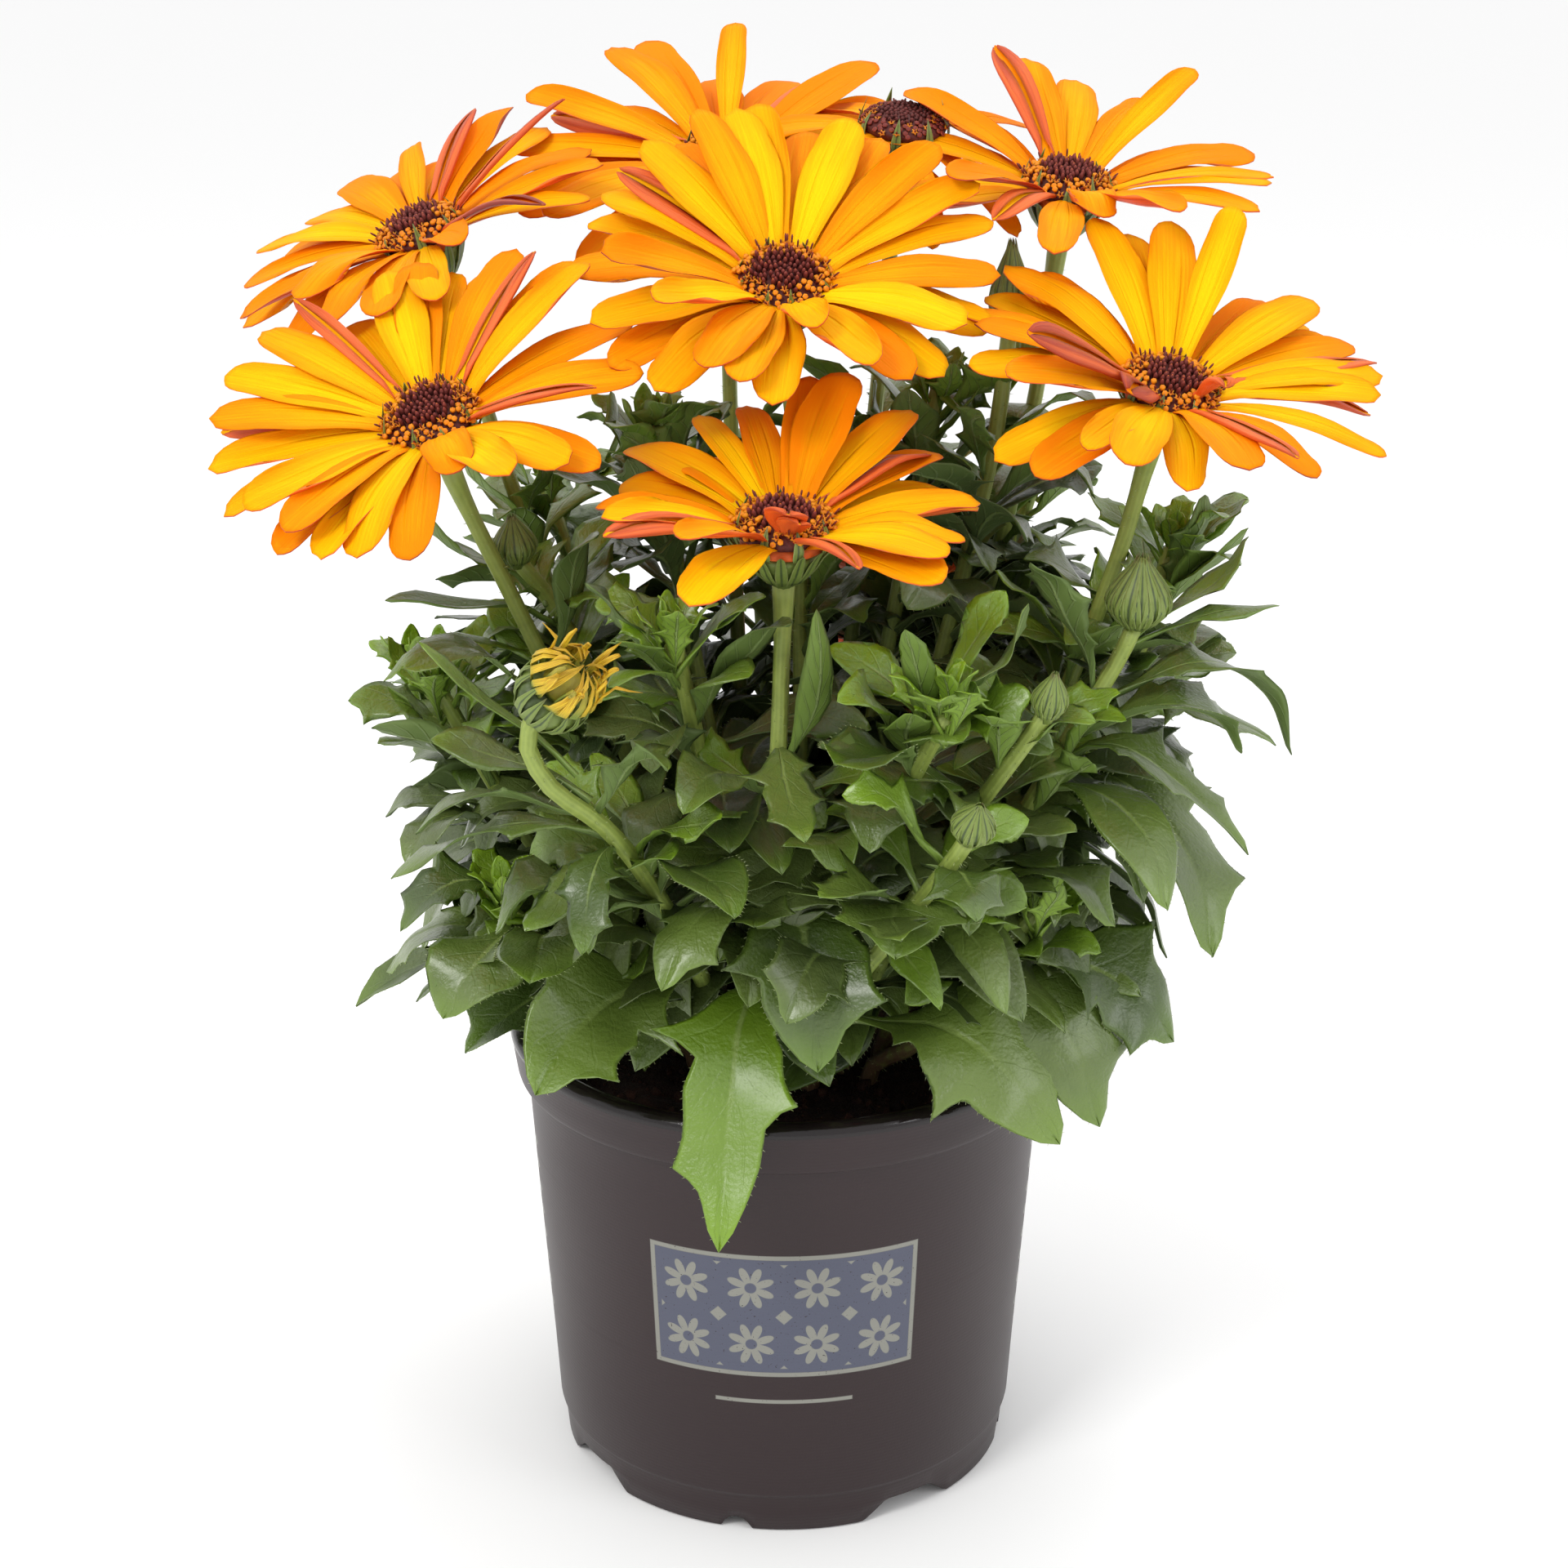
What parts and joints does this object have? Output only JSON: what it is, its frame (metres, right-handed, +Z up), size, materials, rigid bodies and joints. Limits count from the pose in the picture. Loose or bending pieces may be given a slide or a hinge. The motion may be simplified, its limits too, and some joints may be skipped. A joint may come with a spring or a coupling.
{
  "type": "potted osteospermum plant",
  "caption": "Bushy orange daisy-flowered plant with open blooms, buds and toothed leaves on many stems, growing in a round plastic nursery pot.",
  "frame": {"origin": "on the ground under the middle of the pot's base, which is also the middle of the whole part's footprint to within 2 mm", "axes": "+Z up, -Y towards the front of the plant, +X to the viewer's right"},
  "size_m": [0.2047, 0.1768, 0.2667],
  "materials": {
    "pot": "satin",
    "soil": "matte",
    "leaves": "satin",
    "petals": "satin",
    "bud_rays": "matte",
    "florets": "matte"
  },
  "bodies": {
    "root": {"disc_back": "florets", "disc_centre": "florets", "disc_front": "florets", "disc_left": "florets", "disc_left_back": "florets", "disc_rear": "florets", "disc_right": "florets", "disc_right_back": "florets", "disc_spent": "florets", "pot": "pot", "rays_back": "petals", "rays_bud_yellow": "bud_rays", "rays_centre": "petals", "rays_front": "petals", "rays_left": "petals", "rays_left_back": "petals", "rays_rear": "petals", "rays_right": "petals", "rays_right_back": "petals", "rays_spent": "petals", "soil": "soil", "stem_back": "leaves", "stem_back_left": "leaves", "stem_back_low": "leaves", "stem_back_mid": "leaves", "stem_back_right": "leaves", "stem_bud_dark": "leaves", "stem_bud_lime": "leaves", "stem_bud_low": "leaves", "stem_bud_onion": "leaves", "stem_bud_side": "leaves", "stem_bud_yellow": "leaves", "stem_centre": "leaves", "stem_front": "leaves", "stem_left": "leaves", "stem_left_back": "leaves", "stem_left_low": "leaves", "stem_low_left": "leaves", "stem_low_right": "leaves", "stem_rear": "leaves", "stem_right": "leaves", "stem_right_back": "leaves", "stem_right_low": "leaves", "stem_shoot_far_left": "leaves", "stem_shoot_left": "leaves", "stem_shoot_mid": "leaves", "stem_shoot_right": "leaves", "stem_shoot_top_left": "leaves", "stem_shoot_top_right": "leaves", "stem_spent": "leaves"}
  },
  "joints": []
}
